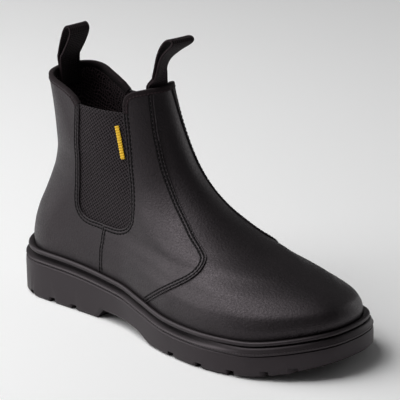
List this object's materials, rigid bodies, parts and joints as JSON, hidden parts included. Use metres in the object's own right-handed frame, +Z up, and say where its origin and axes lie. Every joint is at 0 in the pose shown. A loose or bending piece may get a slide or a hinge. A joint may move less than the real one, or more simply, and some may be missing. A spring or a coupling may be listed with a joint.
{
  "type": "side gore work boot",
  "caption": "Pull-on ankle work boot with a smooth hollow leather upper, elastic side gores, front and back pull loops and a thick cleated sole.",
  "frame": {"origin": "on the floor, under the middle of the sole's bounding rectangle", "axes": "+X towards the toe, +Y towards the inner (medial) side, +Z up"},
  "size_m": [0.3, 0.1198, 0.2046],
  "materials": {
    "tread": "matte moulded black sole compound",
    "welt_layer": "matte moulded black sole compound",
    "insole_fabric": "black textile footbed",
    "upper_leather": "smooth black leather with a soft sheen",
    "elastic": "ribbed black elastic",
    "webbing": "woven black webbing"
  },
  "bodies": {
    "root": {"outsole": "tread", "midsole": "welt_layer", "insole": "insole_fabric", "upper": "upper_leather", "gore_lateral": "elastic", "gore_medial": "elastic", "pull_loop_back": "webbing", "pull_loop_front": "webbing"}
  },
  "joints": []
}
